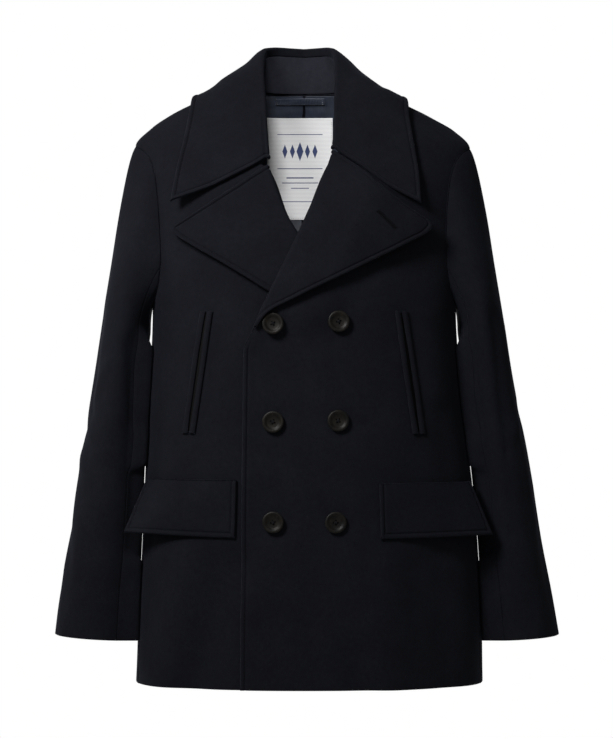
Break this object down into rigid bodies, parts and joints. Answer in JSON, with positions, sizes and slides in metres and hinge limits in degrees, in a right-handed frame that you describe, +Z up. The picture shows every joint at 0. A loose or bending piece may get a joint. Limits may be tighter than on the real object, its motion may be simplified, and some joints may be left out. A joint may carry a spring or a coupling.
{
  "type": "pea coat",
  "caption": "Double-breasted wool pea coat, filled out with nobody in it, with a broad collar, peaked lapels, slanted hand pockets and flap pockets.",
  "frame": {"origin": "midway between the neck ends of the two shoulder seams, where the wearer's shoulders hold the coat up", "axes": "+Z up, -Y towards the front, +X towards the wearer's left"},
  "size_m": [0.6544, 0.2613, 0.8239],
  "materials": {
    "melton": "brushed navy wool melton",
    "lining": "navy satin lining",
    "label": "woven off-white label",
    "horn": "polished dark horn"
  },
  "bodies": {
    "root": {"front_left": "melton", "front_right": "melton", "back": "melton", "sleeve_under_left": "melton", "sleeve_top_left": "melton", "sleeve_under_right": "melton", "sleeve_top_right": "melton", "collar_fall": "melton", "collar_stand": "melton", "lapel_left": "melton", "lapel_right": "melton", "jet_right_inner": "melton", "jet_right_outer": "melton", "jet_left_inner": "melton", "jet_left_outer": "melton", "flap_right": "melton", "flap_left": "melton", "button_left_1": "horn", "button_left_2": "horn", "button_left_3": "horn", "button_right_1": "horn", "button_right_2": "horn", "button_right_3": "horn", "lining_back": "lining", "label": "label", "hanger_loop": "lining"}
  },
  "joints": []
}
